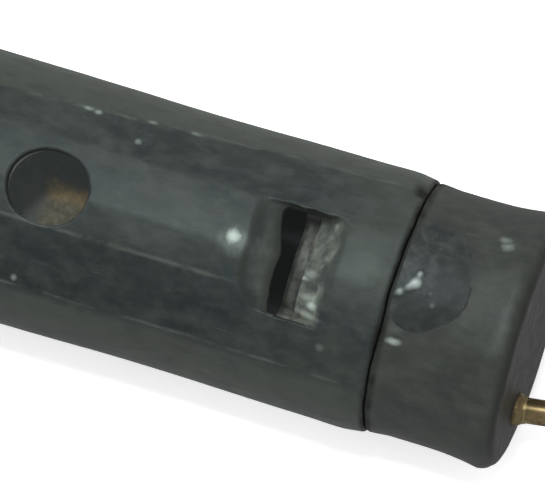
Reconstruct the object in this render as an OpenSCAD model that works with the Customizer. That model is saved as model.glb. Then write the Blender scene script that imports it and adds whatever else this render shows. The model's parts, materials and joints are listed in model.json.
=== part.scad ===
// Capped duct whistle: a hard-rubber tube lined with brass, closed by a wind cap with a thin blowpipe.
// The bore axis is X. The open foot end is at x = 0, the blowpipe is at +X and the finger holes face +Z.

/* [Body] */
// Outside diameter of the body
body_d = 26; // [25.8:0.1:28]
// Diameter of the air column
bore_d = 21.6; // [20:0.2:21.6]
// Distance from the open foot end to the joint with the wind cap
body_end_x = 160; // [156:1:175]
// Wall of the brass lining
liner_t = 0.5; // [0.3:0.1:0.6]
// Distance from the cap joint to the end of the lining
liner_back = 18; // [16.5:0.5:22]

/* [Finger holes] */
// Diameter of each finger hole
hole_d = 8.1; // [6:0.1:9]
// Distance from the cap joint to the nearest finger hole
first_hole_back = 34.9; // [34:0.1:37]
// Spacing of the holes under one hand
hole_pitch = 19.2; // [17:0.1:19.4]
// Spacing between the two hands
hand_pitch = 20.9; // [19.5:0.1:22]

/* [Window] */
// Width of the window across the body
window_w = 10.4; // [9:0.2:11]
// Distance from the cap joint to the window
window_back = 5.5; // [5.2:0.1:6]
// Length of the bevel under the window's cap side
window_bevel = 3.2; // [2:0.1:3.4]
// Distance from the cap joint to the lip edge
lip_back = 11.9; // [11.4:0.1:12.2]
// Length of the ramp cut on the lip
lip_ramp = 3.2; // [2.6:0.1:3.6]
// Thickness left at the lip edge
lip_edge_t = 0.45; // [0.3:0.05:0.7]

/* [Block] */
// Distance from the cap joint to the block's nose
block_back = 10.4; // [9.8:0.1:10.6]
// Length of block that stands out of the body and carries the cap
stub_len = 5.5; // [5:0.1:6]
// Height of the windway
windway_h = 0.9; // [0.7:0.1:1.1]
// Width of the windway
windway_w = 10; // [8:0.2:10]
// Thickness of the cork round the block's stub
cork_t = 0.58; // [0.5:0.02:0.6]

/* [Wind cap] */
// Length of the cap
cap_len = 13.1; // [13:0.1:16]
// Outside radius of the cap's waist
cap_waist_r = 12.5; // [12.4:0.05:12.6]
// Outside radius of the cap's rim
cap_rim_r = 12.95; // [12.8:0.05:13]
// Thickness of the cap's end wall
cap_wall = 2; // [1.6:0.1:2.4]
// Radius of the plugged hole in the cap
plug_r = 3.4; // [3:0.1:3.6]
// Distance from the cap joint to the middle of the plug
plug_fore = 4; // [4:0.1:4.3]
// Angle of the plug round the cap, away from the finger holes
plug_turn = 6; // [0:1:12]

/* [Blowpipe] */
// Outside radius of the brass blowpipe
pipe_r = 1.28; // [1.2:0.02:1.5]
// Wall of the blowpipe
pipe_t = 0.3; // [0.2:0.05:0.4]
// Length of the blowpipe beyond the cap
pipe_len = 34; // [20:1:60]
// Distance of the blowpipe to the side of the axis
pipe_side = 6; // [5:0.1:7]
// Distance of the blowpipe below the axis
pipe_drop = 4.6; // [3:0.1:5.5]
// Lean of the blowpipe back towards the axis
pipe_lean = 8; // [0:1:10]
// Length of the mouth tip
tip_len = 19; // [14:1:26]

/* [Foot] */
// Diameter of the bore at the open foot end
foot_bore_d = 22; // [21.8:0.1:22.4]
// Length of the foot joint
foot_len = 22; // [20:1:24]
// Length of lining that slides into the foot joint
foot_tenon = 10; // [8:1:12]
// Width of the brass rings
ring_w = 3.2; // [2.5:0.1:4]

/* [Hidden] */
$fn = 96;
arc_steps = 8;
beyond = 1;
glue_gap = 0.02;
slide_gap = 0.04;
edge_chamfer = 0.4;
body_r = body_d / 2;
bore_r = bore_d / 2;
foot_bore_r = foot_bore_d / 2;
liner_r = bore_r + liner_t;
liner_end_x = body_end_x - liner_back;
cork_r = bore_r + cork_t;
cork_start = 0.6;
cork_len = 4.4;
windway_floor_r = bore_r - windway_h;
socket_r = cork_r + slide_gap;
cap_gap = 0.3;
cap_waist_end = 5.9;
cap_shoulder = 1.8;
cap_face_r = 11.4;
cap_face_dish = 0.3;
cap_lead = 0.25;
plug_proud = 0.22;
bush_wall = 0.35;
bush_proud = 0.9;
bush_inside = 4.4;
bush_r = pipe_r + slide_gap + bush_wall;
pipe_inside = 4.6;
tip_overlap = 8;
tip_cork_t = 0.5;
tip_cork_len = 5;
tip_socket_r = pipe_r + tip_cork_t + slide_gap;
tip_neck_r = 2.5;
tip_belly_r = 3.3;
tip_end_r = 2.1;
tip_bore_r = 0.95;
tip_ring_t = 0.4;
tip_ring_w = 2.2;
sleeve_in_r = liner_r + slide_gap;
sleeve_t = 0.5;
sleeve_r = sleeve_in_r + sleeve_t;
sleeve_x = foot_len - foot_tenon - 0.2;
ring_t = 0.6;
sponge_gap = 0.4;

// A solid of revolution about the X axis, from [radius, x] points.
module turned(points) {
    rotate([0, 90, 0])
        rotate_extrude()
            polygon(points);
}

// A plain tube about the X axis.
module tube(x0, x1, r_out, r_in) {
    turned([[r_in, x0], [r_out, x0], [r_out, x1], [r_in, x1]]);
}

// Moves a child from the origin to the blowpipe's place, with +Z along the pipe and 0 at the cap's end face.
module on_pipe() {
    translate([body_end_x + cap_len, -pipe_side, -pipe_drop])
        rotate([0, 0, pipe_lean])
            rotate([0, 90, 0])
                children();
}

// A tube about the blowpipe's axis.
module pipe_tube(z0, z1, r_out, r_in) {
    on_pipe()
        rotate_extrude()
            polygon([[r_in, z0], [r_out, z0], [r_out, z1], [r_in, z1]]);
}

// Distance from the cap joint to finger hole i, with three holes to a hand.
function hole_back(i) = first_hole_back + i * hole_pitch + (i > 2 ? hand_pitch - hole_pitch : 0);

// Six drills through the upper wall.
module finger_drills() {
    for (i = [0:5])
        translate([body_end_x - hole_back(i), 0, 0])
            cylinder(h = body_r + beyond, r = hole_d / 2);
}

// The window, cut straight across: an upright opening, a bevel on the cap side and a ramp down to the lip.
module window_cutter() {
    above = 1.5;
    lip_x = body_end_x - lip_back;
    bevel_x = body_end_x - window_back - window_bevel;
    edge_z = bore_r + lip_edge_t;
    rise = body_r - edge_z;
    rotate([90, 0, 0])
        linear_extrude(height = window_w, center = true)
            polygon([
                [lip_x, bore_r / 2], [bevel_x, bore_r / 2], [bevel_x, edge_z],
                [bevel_x + above * window_bevel, edge_z + above * rise],
                [lip_x - above * lip_ramp, edge_z + above * rise], [lip_x, edge_z]
            ]);
}

module body_casing() {
    color([0.16, 0.18, 0.18])
        difference() {
            turned([
                [liner_r, foot_len], [body_r - edge_chamfer, foot_len], [body_r, foot_len + edge_chamfer],
                [body_r, body_end_x - edge_chamfer], [body_r - edge_chamfer, body_end_x], [bore_r, body_end_x],
                [bore_r, liner_end_x], [liner_r, liner_end_x]
            ]);
            finger_drills();
            window_cutter();
        }
}

module bore_liner() {
    color([0.62, 0.48, 0.24])
        difference() {
            tube(foot_len - foot_tenon, liner_end_x - glue_gap, liner_r - glue_gap, bore_r);
            finger_drills();
        }
}

// The block fills the bore from the nose to the stub, apart from the windway channel along its top.
module fipple_block() {
    nose_x = body_end_x - block_back;
    end_x = body_end_x + stub_len;
    nose_slope = 12;
    color([0.24, 0.25, 0.24])
        difference() {
            tube(nose_x, end_x, bore_r - glue_gap, 0);
            difference() {
                translate([nose_x - beyond, -windway_w / 2, 0])
                    cube([end_x - nose_x + 2 * beyond, windway_w, body_r]);
                tube(nose_x - 2 * beyond, end_x + 2 * beyond, windway_floor_r, 0);
            }
            translate([nose_x + window_bevel, 0, windway_floor_r])
                rotate([0, -nose_slope, 0])
                    translate([-body_r, -body_r, 0])
                        cube([body_r, body_d, body_r]);
        }
}

module cap_cork() {
    color([0.66, 0.5, 0.34])
        tube(body_end_x + cork_start, body_end_x + cork_start + cork_len, cork_r, bore_r);
}

// Direction of the plugged hole, with +Z pointing out of the cap.
module on_plug() {
    translate([body_end_x + plug_fore, 0, 0])
        rotate([-plug_turn, 0, 0])
            children();
}

// Waisted outside of the cap: a straight waist, a flare up to the rim and an elliptical shoulder.
function cap_outline() = concat(
    [[cap_waist_r - cap_lead, cap_gap], [cap_waist_r, cap_gap + cap_lead]],
    [for (i = [0:arc_steps])
        let (u = i / arc_steps)
        [cap_waist_r + (cap_rim_r - cap_waist_r) * u * u,
         cap_waist_end + (cap_len - cap_shoulder - cap_waist_end) * u]],
    [for (i = [1:arc_steps])
        let (a = 90 * i / arc_steps)
        [cap_face_r + (cap_rim_r - cap_face_r) * cos(a), cap_len - cap_shoulder + cap_shoulder * sin(a)]],
    [[0, cap_len - cap_face_dish]],
    [[0, cap_len - cap_wall], [socket_r, cap_len - cap_wall], [socket_r, cap_gap]]
);

module wind_cap() {
    color([0.2, 0.21, 0.2])
        difference() {
            translate([body_end_x, 0, 0])
                turned(cap_outline());
            on_plug()
                cylinder(h = body_r + beyond, r = plug_r);
            on_pipe()
                translate([0, 0, -cap_wall - beyond])
                    cylinder(h = cap_wall + 2 * beyond, r = bush_r + glue_gap);
        }
}

// The plug follows the cap's curve and stands slightly proud of it.
module cap_plug() {
    color([0.12, 0.13, 0.14])
        intersection() {
            tube(body_end_x, body_end_x + cap_len, cap_waist_r + plug_proud, socket_r);
            on_plug()
                cylinder(h = body_d, r = plug_r - glue_gap);
        }
}

module cap_sponge() {
    color([0.72, 0.62, 0.36])
        difference() {
            tube(body_end_x + stub_len + sponge_gap, body_end_x + cap_len - cap_wall - sponge_gap,
                 socket_r - sponge_gap, 0);
            on_pipe()
                translate([0, 0, -cap_len])
                    cylinder(h = cap_len, r = bush_r + sponge_gap);
        }
}

module pipe_bush() {
    color([0.7, 0.55, 0.28])
        pipe_tube(-bush_inside, bush_proud, bush_r, pipe_r + slide_gap);
}

module blowpipe() {
    color([0.7, 0.56, 0.3])
        pipe_tube(-pipe_inside, pipe_len, pipe_r, pipe_r - pipe_t);
}

module tip_cork() {
    color([0.66, 0.5, 0.34])
        pipe_tube(pipe_len - tip_cork_len - beyond, pipe_len - beyond, pipe_r + tip_cork_t, pipe_r);
}

// A turned mouthpiece whose socket slides over the cork on the blowpipe.
module mouth_tip() {
    start = pipe_len - tip_overlap;
    end = start + tip_len;
    socket_end = pipe_len + slide_gap;
    color([0.16, 0.18, 0.18])
        on_pipe()
            rotate_extrude()
                polygon(concat(
                    [[tip_socket_r, start], [tip_neck_r, start], [tip_neck_r, start + tip_ring_w],
                     [tip_neck_r + tip_ring_t, start + tip_ring_w]],
                    [for (i = [0:arc_steps])
                        let (u = i / arc_steps, z = start + tip_ring_w + (tip_overlap - tip_ring_w) * u)
                        [tip_neck_r + tip_ring_t + (tip_belly_r - tip_neck_r - tip_ring_t) * sin(90 * u), z]],
                    [for (i = [1:arc_steps])
                        let (u = i / arc_steps, z = pipe_len + (end - pipe_len) * u)
                        [tip_end_r + (tip_belly_r - tip_end_r) * pow(cos(90 * u), 2), z]],
                    [[tip_bore_r, end], [tip_bore_r, socket_end], [tip_socket_r, socket_end]]
                ));
}

module tip_ring() {
    start = pipe_len - tip_overlap;
    color([0.7, 0.55, 0.28])
        pipe_tube(start, start + tip_ring_w - glue_gap, tip_neck_r + tip_ring_t, tip_neck_r + glue_gap);
}

// The foot joint, recessed at both ends for a brass ring and bored out for the sleeve.
module foot_casing() {
    ring_seat_r = body_r - ring_t;
    color([0.16, 0.18, 0.18])
        turned([
            [foot_bore_r, 0], [ring_seat_r, 0], [ring_seat_r, ring_w], [body_r, ring_w],
            [body_r, foot_len - ring_w], [ring_seat_r, foot_len - ring_w],
            [ring_seat_r, foot_len - glue_gap], [sleeve_r, foot_len - glue_gap],
            [sleeve_r, sleeve_x], [foot_bore_r, sleeve_x]
        ]);
}

module foot_sleeve() {
    color([0.62, 0.48, 0.24])
        tube(sleeve_x + glue_gap, foot_len - glue_gap, sleeve_r - glue_gap, sleeve_in_r);
}

module foot_ring() {
    color([0.7, 0.55, 0.28])
        tube(0, ring_w - glue_gap, body_r, body_r - ring_t + glue_gap);
}

module socket_ring() {
    color([0.7, 0.55, 0.28])
        tube(foot_len - ring_w + glue_gap, foot_len - glue_gap, body_r, body_r - ring_t + glue_gap);
}

body_casing();
bore_liner();
fipple_block();
cap_cork();
wind_cap();
cap_plug();
cap_sponge();
pipe_bush();
blowpipe();
tip_cork();
mouth_tip();
tip_ring();
foot_casing();
foot_sleeve();
foot_ring();
socket_ring();
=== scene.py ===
"""Looks of the capped duct whistle: worn hard rubber, brass, cork, sponge and pitch round the CAD frame.

Lengths in this file are millimetres unless a name says otherwise. X is the bore axis, +Z faces the window.
An angle round the axis is 0 at +Z and positive towards +Y. "Back" is the distance from the cap's joint
towards the foot. Noise with the stretch (2, 1, 1) has lumps twice as long along X.
"""

import functools
import json
import math
from typing import NamedTuple

import bmesh
import bpy
import numpy as np
from mathutils import Matrix, Vector


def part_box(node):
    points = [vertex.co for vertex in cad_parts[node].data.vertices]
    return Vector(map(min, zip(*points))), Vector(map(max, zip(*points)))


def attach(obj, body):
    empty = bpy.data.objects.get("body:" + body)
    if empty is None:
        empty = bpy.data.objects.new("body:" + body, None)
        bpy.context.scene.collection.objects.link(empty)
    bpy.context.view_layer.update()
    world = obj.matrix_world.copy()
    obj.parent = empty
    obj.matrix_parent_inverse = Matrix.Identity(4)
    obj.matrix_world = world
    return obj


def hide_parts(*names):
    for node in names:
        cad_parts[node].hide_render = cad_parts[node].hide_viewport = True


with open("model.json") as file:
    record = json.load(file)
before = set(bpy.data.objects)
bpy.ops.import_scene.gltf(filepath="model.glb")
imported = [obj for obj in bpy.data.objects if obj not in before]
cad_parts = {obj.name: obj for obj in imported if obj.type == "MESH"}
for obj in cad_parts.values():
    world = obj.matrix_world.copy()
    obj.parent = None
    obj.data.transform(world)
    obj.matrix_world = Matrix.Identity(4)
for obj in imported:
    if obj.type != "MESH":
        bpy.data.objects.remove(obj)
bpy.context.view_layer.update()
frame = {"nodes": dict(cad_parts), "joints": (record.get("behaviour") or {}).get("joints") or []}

MM = 0.001


def corners(node):
    """The CAD node's box at rest as two arrays, in millimetres."""
    low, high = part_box(node)
    return np.array(low) / MM, np.array(high) / MM


# ---- sizes from the frame

casing_low, casing_high = corners("body_casing")
cap_low, cap_high = corners("wind_cap")
block_low, block_high = corners("fipple_block")
plug_low, plug_high = corners("cap_plug")
pipe_low, pipe_high = corners("blowpipe")
_, liner_high = corners("bore_liner")
_, foot_high = corners("foot_casing")

joint_x = casing_high[0]
body_r = casing_high[2]
liner_r = liner_high[1]
bore_r = block_high[1]
cap_len = cap_high[0] - joint_x

# ---- sizes the frame doesn't hold

HOLE_R = 4.05
FIRST_HOLE_BACK = 34.9
HOLE_PITCH = 19.2
HAND_PITCH = 20.9
WINDOW_HALF_W = 5.2
WINDOW_BACK = 5.5
WINDOW_BEVEL = 3.2
LIP_BACK = 11.9
LIP_RAMP = 3.1
LIP_EDGE = 0.45
LIP_SLANT = 0.13
WINDWAY_HEIGHT = 0.9
WINDWAY_HALF_W = 5.0
PATCH_HALF = 7.0
PATCH_CELLS = 36
TINY = 1e-6


# ---- noise and small maths

def lattice(cells, seed):
    """A repeatable pseudo-random value in 0..1 for each whole-number cell."""
    mixed = cells[:, 0] * 374761393 + cells[:, 1] * 668265263 + cells[:, 2] * 2147483647 + seed * 974634777
    mixed = (mixed ^ (mixed >> 13)) * 1274126177
    return ((mixed ^ (mixed >> 16)) & 0xFFFFFF) / float(0xFFFFFF)


def smooth_noise(points, size, seed=0, stretch=(1, 1, 1)):
    """Value noise in -1..1 whose lumps are about size across, stretched along an axis if asked."""
    p = points / (size * np.array(stretch, float))
    base = np.floor(p).astype(np.int64)
    f = p - base
    f = f * f * (3 - 2 * f)
    total = np.zeros(len(p))
    for dx in (0, 1):
        for dy in (0, 1):
            for dz in (0, 1):
                weight = np.abs(1 - dx - f[:, 0]) * np.abs(1 - dy - f[:, 1]) * np.abs(1 - dz - f[:, 2])
                total += weight * lattice(base + np.array([dx, dy, dz]), seed)
    return total * 2 - 1


def layered_noise(points, size, seed=0, layers=3, stretch=(1, 1, 1)):
    """Several sizes of noise added up, each half as large and half as strong as the one before."""
    total = np.zeros(len(points))
    for i in range(layers):
        total += smooth_noise(points, size / 2 ** i, seed + i, stretch) / 2 ** i
    return total / 1.5


def smoothstep(low, high, value):
    t = np.clip((value - low) / (high - low), 0, 1)
    return t * t * (3 - 2 * t)


def soft_min(a, b, k):
    """The smaller of two values, blended over a width k."""
    h = np.clip(0.5 + 0.5 * (b - a) / k, 0, 1)
    return b * (1 - h) + a * h - k * h * (1 - h)


def hump(value, centre, width):
    """A smooth bump of height 1 round a centre."""
    return np.exp(-((value - centre) / width) ** 2)


def circle(segments):
    """Equally spaced angles round a full turn."""
    return np.arange(segments) * 2 * math.pi / segments


# ---- meshes

def read(mesh, what):
    """One of the mesh's vertex vectors, with a row for each vertex."""
    values = np.zeros(len(mesh.vertices) * 3)
    mesh.vertices.foreach_get(what, values)
    return values.reshape(-1, 3)


def curvature(mesh):
    """Mean signed curvature at each vertex in 1/mm: positive on outside edges, negative in creases."""
    count = len(mesh.vertices)
    co = read(mesh, "co") / MM
    normals = read(mesh, "normal")
    edges = np.zeros(len(mesh.edges) * 2, np.int64)
    mesh.edges.foreach_get("vertices", edges)
    a, b = edges.reshape(-1, 2).T
    step = co[b] - co[a]
    length_sq = np.maximum((step ** 2).sum(1), TINY)
    bend = ((normals[b] - normals[a]) * step).sum(1) / length_sq
    total = np.bincount(a, bend, count) + np.bincount(b, bend, count)
    degree = np.bincount(a, minlength=count) + np.bincount(b, minlength=count)
    value = total / np.maximum(degree, 1)
    for _ in range(2):
        spread = np.bincount(a, value[b], count) + np.bincount(b, value[a], count)
        value = 0.5 * value + 0.5 * spread / np.maximum(degree, 1)
    return value


def make_piece(name, points, faces, body, look, node, relief=None, marks=()):
    """A closed mesh from points in millimetres, roughened along its normals and riding on a body.

    look names its material and slot, and node is the CAD solid that it replaces. marks are extra
    (label, values) pairs, with one value for each point, that the material reads.
    """
    mesh = bpy.data.meshes.new(name)
    mesh.from_pydata((np.asarray(points) * MM).tolist(), [], faces)
    work = bmesh.new()
    work.from_mesh(mesh)
    bmesh.ops.recalc_face_normals(work, faces=work.faces)
    work.to_mesh(mesh)
    work.free()
    piece = bpy.data.objects.new(name, mesh)
    bpy.context.scene.collection.objects.link(piece)
    mesh.polygons.foreach_set("use_smooth", [True] * len(mesh.polygons))
    if relief is not None:
        points = np.asarray(points) + read(mesh, "normal") * relief(np.asarray(points))[:, None]
        mesh.vertices.foreach_set("co", (points * MM).astype(np.float32).ravel())
        mesh.update()
    bend = curvature(mesh)
    # wear marks convex edges; crease marks hollows, which the materials darken as painted shade
    worn = (("wear", np.clip(bend - 0.3, 0, 4) / 4), ("crease", np.clip(-bend - 0.2, 0, 3) / 3))
    for label, values in (*worn, *marks):
        mesh.attributes.new(label, "FLOAT", "POINT").data.foreach_set("value", values.astype(np.float32))
    mesh.materials.append(LOOKS[look])
    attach(piece, body)
    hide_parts(node)
    return piece


def softened(outline, radius, steps=4):
    """The outline with each corner cut back by radius and rounded. Points are (radius, x)."""
    result = []
    points = [np.array(point, float) for point in outline]
    for i, corner in enumerate(points):
        if corner[0] <= TINY:
            result.append(corner)
            continue
        arms = points[i - 1] - corner, points[(i + 1) % len(points)] - corner
        reach = min(radius, *(0.45 * np.linalg.norm(arm) for arm in arms))
        start, end = (corner + arm / np.linalg.norm(arm) * reach for arm in arms)
        for t in np.linspace(0, 1, steps + 1):
            result.append((1 - t) ** 2 * start + 2 * t * (1 - t) * corner + t ** 2 * end)
    return result


def stepped(outline, longest):
    """The closed outline with long stretches divided, so that relief has vertices to move."""
    result = []
    for i, point in enumerate(outline):
        following = outline[(i + 1) % len(outline)]
        if point[0] <= TINY and following[0] <= TINY:
            result.append(point)
            continue
        stretch = np.array(following) - np.array(point)
        pieces = max(1, math.ceil(np.linalg.norm(stretch) / longest))
        result += [np.array(point) + stretch * k / pieces for k in range(pieces)]
    return result


def turned(outline, segments):
    """Points and faces of a closed outline of (radius, x) points turned about X."""
    points, rings = [], []
    turns = circle(segments)
    for r, x in outline:
        if r <= TINY:
            rings.append([len(points)] * segments)
            points.append((x, 0, 0))
        else:
            rings.append(list(range(len(points), len(points) + segments)))
            points.extend(zip(np.full(segments, x), r * np.sin(turns), r * np.cos(turns)))
    faces = []
    for ring, following in zip(rings, rings[1:] + rings[:1]):
        if ring[0] == ring[1] and following[0] == following[1]:
            continue
        for k in range(segments):
            m = (k + 1) % segments
            faces.append(list(dict.fromkeys([ring[k], ring[m], following[m], following[k]])))
    return np.array(points), faces


class Shell:
    """Collects the points and faces of one closed mesh."""

    def __init__(self):
        self.points = []
        self.faces = []

    def add(self, x, y, z):
        start = len(self.points)
        self.points.extend(zip(x, y, z))
        return np.arange(start, len(self.points))

    def at(self, indices):
        return np.array([self.points[i] for i in indices])

    def face(self, *indices):
        self.faces.append(tuple(int(i) for i in indices))

    def strip(self, loop, following):
        """Quads between two closed loops of equal length."""
        for k in range(len(loop)):
            m = (k + 1) % len(loop)
            self.face(loop[k], loop[m], following[m], following[k])

    def close(self, loop, x, y, z, flip):
        """Triangles from a closed loop to one point in its middle."""
        middle = self.add([x], [y], [z])[0]
        for start, end in zip(loop, np.roll(loop, -1)):
            self.face(*((middle, end, start) if flip else (start, end, middle)))


# ---- casing: relief of the outer surface

LOW_EDGE = -47.5
TOP_EDGE = -15.6
GREEN_EDGE = 47
FACET_EDGES = (-163, -127, -90, LOW_EDGE, TOP_EDGE, -1, 26, GREEN_EDGE, 84, 120, 158)
EDGE_SWING = 1.5
GREEN_SWING = 7.5
SWING_LENGTH = 18.0
SWING_START = 28.0
FACET_FLATNESS = 0.6
FACET_DEEPEST = 0.24
WAIST_DEPTH = 0.2
MOUND_HEIGHT = 0.12
CHIP_ANGLE = 57
CHIP_DEPTH = 0.65
END_ROUND = 0.36


def on_body(x, angle):
    """Points on the plain cylinder that the casing's relief is measured from."""
    return np.stack([x, body_r * np.sin(angle), body_r * np.cos(angle)], 1)


def facet_relief(x, angle):
    """Depth below the full radius of the shallow planed strips along the tube, creased at their edges."""
    degrees = np.degrees(angle)
    depth = np.zeros(len(x))
    count = len(FACET_EDGES)
    for i in range(count):
        low = FACET_EDGES[i] + edge_drift(x, i)
        following = FACET_EDGES[(i + 1) % count] + (360 if i == count - 1 else 0)
        high = following + edge_drift(x, (i + 1) % count)
        for turn in (0, 360):
            t = (degrees + turn - low) / (high - low)
            inside = (t > 0) & (t < 1)
            flat = body_r * (1 - np.cos(np.radians(high - low) / 2)) * FACET_FLATNESS
            depth += np.where(inside, 4 * t * (1 - t), 0) * np.minimum(flat, FACET_DEEPEST)
    return depth


def edge_drift(x, i):
    """How far, in degrees, strip edge i wanders as it runs along the tube."""
    wave = (x - joint_x + SWING_START) / SWING_LENGTH
    if FACET_EDGES[i] == GREEN_EDGE:
        return GREEN_SWING * np.sin(wave)
    return EDGE_SWING * np.sin(wave + 1.7 * i)


def joint_waver(angle):
    """How far the worn joint line strays from a flat cut, along X, round the body."""
    return 0.15 * (layered_noise(on_body(0 * angle, angle), 3.4, 5, 3) - 0.55)


def casing_radius(x, angle):
    """Outside radius of the casing: planed strips, waves, a dent, a chip, round ends and a swollen joint."""
    spot = on_body(x, angle)
    back = joint_x - x
    r = body_r - facet_relief(x, angle) * (1 - 0.6 * smoothstep(9, 4, back))
    r = r + 0.035 * layered_noise(spot, 9, 3, 2, (2.5, 1, 1)) - 0.03
    r = r + 0.02 * layered_noise(spot, 1.6, 8, 2, (2.2, 1, 1))
    r = r + 0.06 * smoothstep(6, 3, back) - 0.24 * smoothstep(2.4, 0, back)
    r = r - WAIST_DEPTH * hump(back, 23, 9.5)
    r = r + MOUND_HEIGHT * hump(back, 16.1, 0.75) * hump(spot[:, 1], 0.7, 0.75) * (spot[:, 2] > 0)
    r = r - CHIP_DEPTH * hump(back, 0.4, 0.8) * hump(np.degrees(angle), CHIP_ANGLE, 5.5)
    for from_end in (back, x - casing_low[0]):
        inside = np.clip(END_ROUND - from_end, 0, END_ROUND)
        r = r - (END_ROUND - np.sqrt(END_ROUND ** 2 - inside ** 2))
    return r


# ---- casing: the window's cut surface

SLOT_BACK = 9.5
RAMP_END = 17
LEVEL_SHARE = 0.35
lip_x = joint_x - LIP_BACK
bevel_x = joint_x - WINDOW_BACK - WINDOW_BEVEL
edge_z = bore_r + LIP_EDGE
cut_rise = body_r - edge_z
slot_middle = (lip_x + bevel_x) / 2


def lip_bulge(y):
    """How far the worn lip edge bulges towards the block."""
    return 0.5 * hump(y, 0.6, 1.9)


def lip_away(x, y):
    """How far a place is from the lip's edge, towards the foot."""
    return lip_x - LIP_SLANT * y + lip_bulge(y) - x


def window_height(x, y, surface_z):
    """Height of the casing near the window: its surface cut by the lip's ramp and by the rough bevel."""
    spot = np.stack([x, y, surface_z], 1)
    on_ramp = x < slot_middle
    rise = LEVEL_SHARE * cut_rise + (1 - LEVEL_SHARE) * (surface_z - edge_z)
    ramp = edge_z + lip_away(x, y) * rise / LIP_RAMP + 0.03 * layered_noise(spot, 1.1, 21, 3)
    rough = 0.26 * layered_noise(spot, 1.5, 31, 4, (1, 1.6, 1))
    bevel = surface_z - (joint_x - WINDOW_BACK - x) * cut_rise / WINDOW_BEVEL + rough
    cut_surface = soft_min(surface_z, np.where(on_ramp, ramp, bevel), np.where(on_ramp, 0.32, 0.16))
    ragged = np.abs(y) + 0.12 * smooth_noise(spot, 0.8, 41)
    inside = smoothstep(WINDOW_HALF_W + 0.35, WINDOW_HALF_W - 0.1, ragged)
    near_sides = smoothstep(1.3, 0.3, np.abs(np.abs(y) - WINDOW_HALF_W))
    near_sides = near_sides * smoothstep(4.2, 3.2, np.abs(x - joint_x + SLOT_BACK))
    chips = 0.1 * smoothstep(0.25, 0.8, layered_noise(spot, 0.9, 51, 3))
    return surface_z + (cut_surface - surface_z) * inside - chips * near_sides


# ---- casing: grid, holes and window

FINE_GRID = 50
FINE_STEP = 0.45
COARSE_STEP = 0.9
PATCH_STEP = 0.39
GRID_AROUND = 92
ROUND_STEPS = (0.08, 0.3, 0.6, 1)
SLACK = 0.02
LEAST_WALL = 0.06


class Patch(NamedTuple):
    """A block of the casing's grid that gives way to an opening with rounded edges."""

    centre_x: float
    half_x: float
    half_w: float
    reach_x: float
    squareness: float
    edge_round: float
    centre_y: float = 0.0
    window: bool = False

    def loop(self, along, across, grow):
        """XY of the opening's edge, pushed outward by grow. along and across run -1..1 round the block."""
        power = self.squareness
        size = (np.abs(along) ** power + np.abs(across) ** power) ** (1 / power)
        x = self.centre_x + (self.half_x + grow) * along / size
        y = self.centre_y + (self.half_w + grow) * across / size
        if self.window:
            x = x + (lip_bulge(y) - LIP_SLANT * y) * (along < 0) * np.abs(along)
            ragged = np.stack([x, y, np.zeros(len(x))], 1)
            x = x + 0.09 * layered_noise(ragged, 0.9, 61, 2)
            y = y + 0.05 * layered_noise(ragged, 0.8, 71, 2)
        return x, y

    def height(self, x, y):
        """Height of the casing's surface at a place on or round the opening."""
        r = casing_radius(x, np.arcsin(y / body_r))
        z = np.sqrt(np.maximum(r ** 2 - y ** 2, 1))
        return window_height(x, y, z) if self.window else z


def hole_backs():
    """Distances from the joint to the six finger holes, three to a hand."""
    return [FIRST_HOLE_BACK + i * HOLE_PITCH + (i > 2) * (HAND_PITCH - HOLE_PITCH) for i in range(6)]


def casing_patches():
    """The openings in order along X: the finger holes, a little narrow and off centre, and the window."""
    window = Patch(slot_middle, (bevel_x - lip_x) / 2, WINDOW_HALF_W, reach_x=7.0, squareness=9,
                   edge_round=0.1, window=True)
    holes = [Patch(joint_x - back, HOLE_R, HOLE_R - 0.36, reach_x=4.9, squareness=2.1, edge_round=0.3,
                   centre_y=0.22) for back in hole_backs()[::-1]]
    return holes + [window]


def grid_lines(patches, fine_from, outer):
    """X positions of the grid lines, and each patch's first and last line."""
    lines = [casing_low[0]]
    if outer:
        lines += [casing_low[0] + END_ROUND * s for s in ROUND_STEPS]
    spans = []
    for patch in patches + [None]:
        stop = patch.centre_x - patch.reach_x if patch else joint_x - (END_ROUND if outer else 0)
        start = lines[-1]
        spacing = FINE_STEP if start > fine_from else COARSE_STEP
        pieces = max(1, math.ceil((stop - start) / spacing)) if outer else 1
        lines += [start + (stop - start) * k / pieces for k in range(1, pieces + 1)]
        if patch:
            cells = round(2 * patch.reach_x / PATCH_STEP)
            spans.append((len(lines) - 1, len(lines) - 1 + cells))
            lines += [stop + 2 * patch.reach_x * k / cells for k in range(1, cells + 1)]
    if outer:
        lines += [joint_x - END_ROUND * s for s in (*ROUND_STEPS[-2::-1], 0)]
    else:
        step_at = liner_high[0]
        place = int(np.searchsorted(lines, step_at))
        lines[place:place] = [step_at, step_at + 0.05]
        spans = [(a + 2 * (a >= place), b + 2 * (a >= place)) for a, b in spans]
    return np.array(lines), spans


def lay_grid(shell, xs, angles, place, spans, outward):
    """Adds the grid's points and quads, leaving out the cells inside each patch."""
    used = np.ones((len(xs), len(angles)), bool)
    for first, last in spans:
        used[first + 1:last, 1:PATCH_CELLS] = False
    grid_x, grid_a = np.meshgrid(xs, angles, indexing="ij")
    index = -np.ones(used.shape, int)
    index[used] = shell.add(*place(grid_x[used], grid_a[used]))
    for i in range(len(xs) - 1):
        in_span = any(first <= i < last for first, last in spans)
        for j in range(len(angles)):
            if in_span and j < PATCH_CELLS:
                continue
            m = (j + 1) % len(angles)
            quad = [index[i, j], index[i + 1, j], index[i + 1, m], index[i, m]]
            shell.face(*(quad if outward else quad[::-1]))
    return index


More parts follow.
